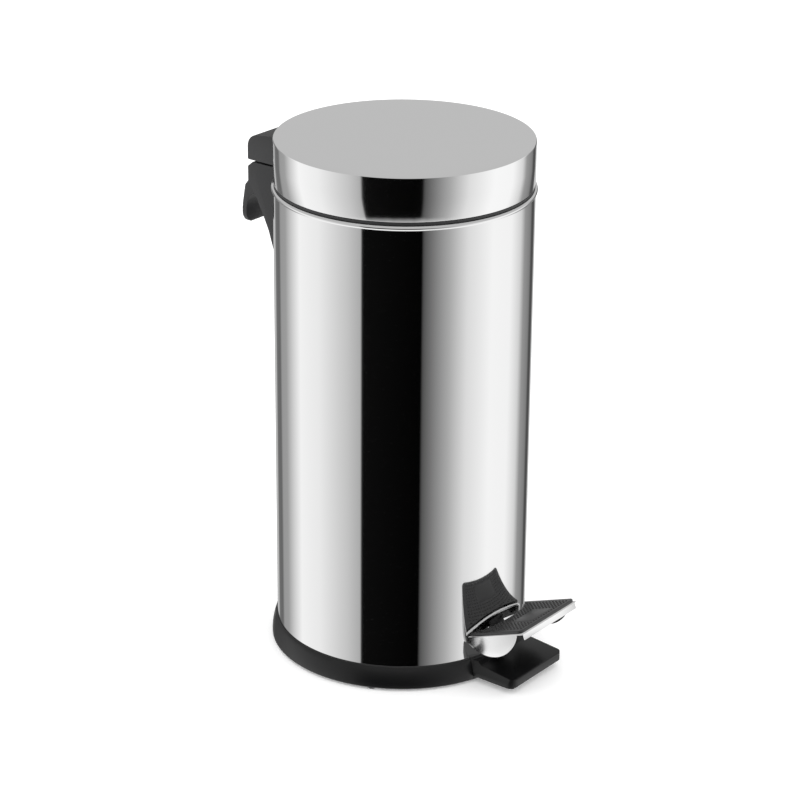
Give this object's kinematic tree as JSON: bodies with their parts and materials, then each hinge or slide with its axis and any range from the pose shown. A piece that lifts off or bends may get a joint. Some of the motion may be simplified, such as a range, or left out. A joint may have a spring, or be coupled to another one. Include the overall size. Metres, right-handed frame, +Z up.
{
  "type": "pedal bin",
  "caption": "Round free-standing pedal bin: polished steel shell, rear-hinged lid lifted by a push rod, plastic base with stabiliser foot, and a lift-out inner bucket.",
  "frame": {"origin": "axis of the round shell at floor level", "axes": "+Z up along the shell's axis, -Y towards the pedal, +Y towards the lid hinge, X along the hinge and pedal pins"},
  "size_m": [0.262, 0.3697, 0.525],
  "materials": {
    "polished_steel": "mirror polished stainless steel sheet",
    "satin_steel": "satin polished stainless steel sheet",
    "chromed_steel": "satin chrome plate on pressed steel",
    "black_plastic": "moulded, fine matt texture",
    "black_enamel": "black stoved enamel on pressed steel",
    "bucket_plastic": "moulded, half matt",
    "grip_plastic": "moulded, smooth",
    "black_rubber": "moulded, dimpled",
    "zinc_steel": "bright zinc plate"
  },
  "bodies": {
    "bin": {"shell": "polished_steel", "bottom_disc": "polished_steel", "base_ring": "black_plastic", "stabiliser_foot": "black_plastic", "rubber_feet": "black_rubber", "foot_screws": "zinc_steel", "top_collar": "black_plastic", "bearing_left": "black_plastic", "bearing_right": "black_plastic", "bearing_rivets": "zinc_steel", "pedal_pivot_pin": "zinc_steel", "pivot_pin_clip": "zinc_steel", "rear_bracket": "black_plastic", "hinge_pin": "zinc_steel", "bracket_screws": "zinc_steel"},
    "pedal": {"pedal_lever": "black_enamel", "pedal_cover": "chromed_steel", "tread_pad": "black_rubber", "pedal_rivets": "zinc_steel"},
    "lid": {"lid_cap": "satin_steel", "lid_liner": "black_plastic", "lid_bracket": "black_plastic", "lid_bracket_screws": "zinc_steel", "lid_bumpers": "black_rubber"},
    "rod": {"push_rod": "zinc_steel", "rod_clips": "zinc_steel"},
    "bucket": {"bucket": "bucket_plastic"},
    "bail": {"bail_handle": "zinc_steel", "bail_grip": "grip_plastic"}
  },
  "joints": [
    {"name": "pedal_press", "type": "hinge", "parent": "bin", "child": "pedal", "pos_m": [0, -0.015, 0.031], "axis": [1, 0, 0], "range_deg": [0, 7.8]},
    {"name": "lid_open", "type": "hinge", "parent": "bin", "child": "lid", "pos_m": [0, 0.171, 0.4665], "axis": [-1, 0, 0], "range_deg": [0, 80]},
    {"name": "rod_swing", "type": "hinge", "parent": "lid", "child": "rod", "pos_m": [0, 0.15953, 0.45847], "axis": [1, 0, 0], "range_deg": [0, 80]},
    {"name": "bucket_lift", "type": "slide", "parent": "bin", "child": "bucket", "axis": [0, 0, 1], "range_m": [0, 0.008]},
    {"name": "bail_swing", "type": "hinge", "parent": "bucket", "child": "bail", "pos_m": [0, 0, 0.4816], "axis": [-1, 0, 0], "range_deg": [0, 12]}
  ],
  "couplings": [
    {"joint": "lid_open", "follows": "pedal_press", "ratio": 10.251},
    {"joint": "rod_swing", "follows": "pedal_press", "ratio": 10.251}
  ]
}
